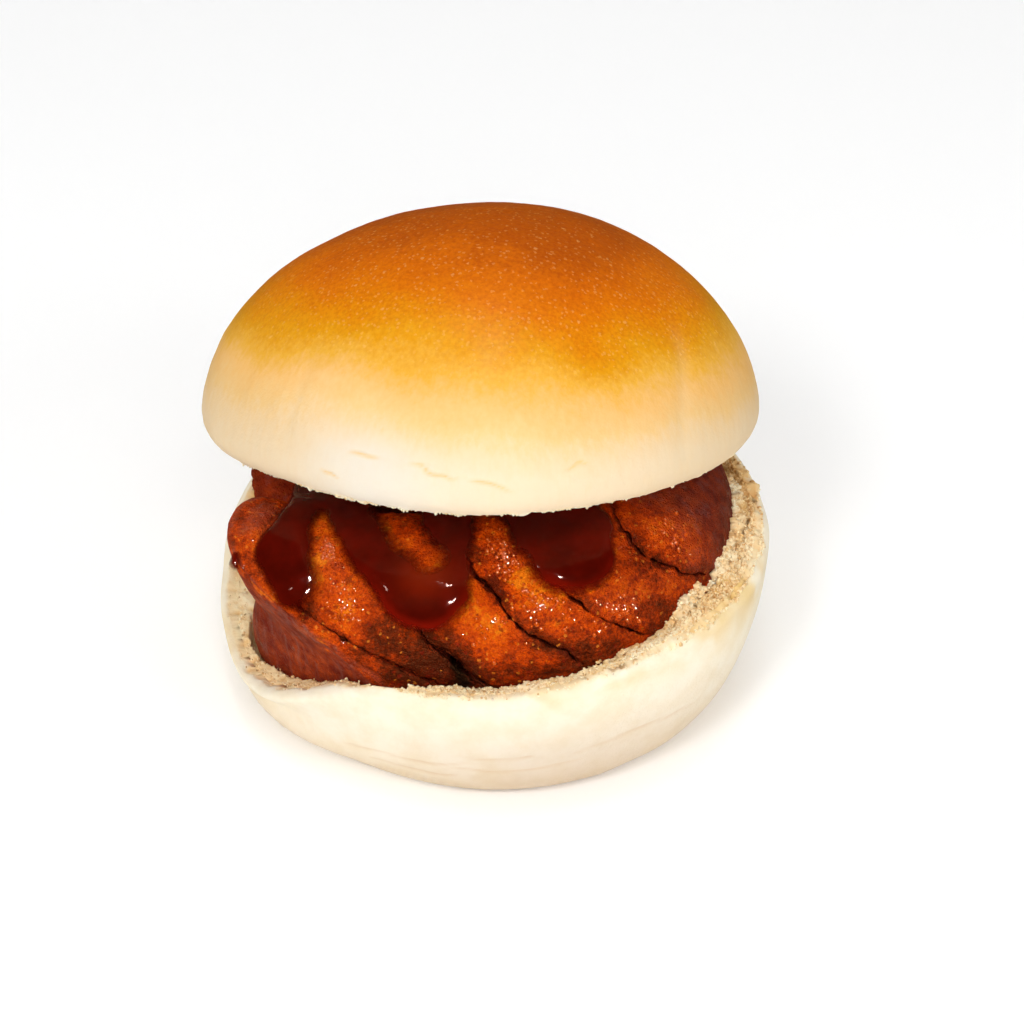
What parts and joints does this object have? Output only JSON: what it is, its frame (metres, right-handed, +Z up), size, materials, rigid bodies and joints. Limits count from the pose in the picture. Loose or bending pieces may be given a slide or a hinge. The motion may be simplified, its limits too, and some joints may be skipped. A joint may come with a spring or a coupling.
{
  "type": "sliced sausage roll sandwich",
  "caption": "Soft white roll, cut open and tilted, filled with a browned, glazed sausage in slanting slices that shows at the front between the two halves of bread",
  "frame": {"origin": "centre of the flat foot of the bottom half of the roll", "axes": "+Z up, +X to the right of the opening, -Y out of the opening towards the viewer"},
  "size_m": [0.1016, 0.1014, 0.0877],
  "materials": {
    "bread_skin": "soft baked skin, golden brown on top and cream towards the edge, with a faint sheen",
    "pale_bread": "pale floury bread skin with a torn, matte white crumb at the rim",
    "sausage": "browned coarse meat, glossy with fat, mottled orange and dark red-brown",
    "sauce": "smooth glossy dark red-brown sauce, brighter red at its thin edges",
    "crumb": "loose matte crumbs of white bread"
  },
  "bodies": {
    "root": {"bun_bottom": "pale_bread", "bun_top": "bread_skin", "sausage_slice_1": "sausage", "sausage_slice_2": "sausage", "sausage_slice_3": "sausage", "sausage_slice_4": "sausage", "sausage_slice_5": "sausage", "sausage_slice_6": "sausage", "sausage_back": "sausage"}
  },
  "joints": []
}
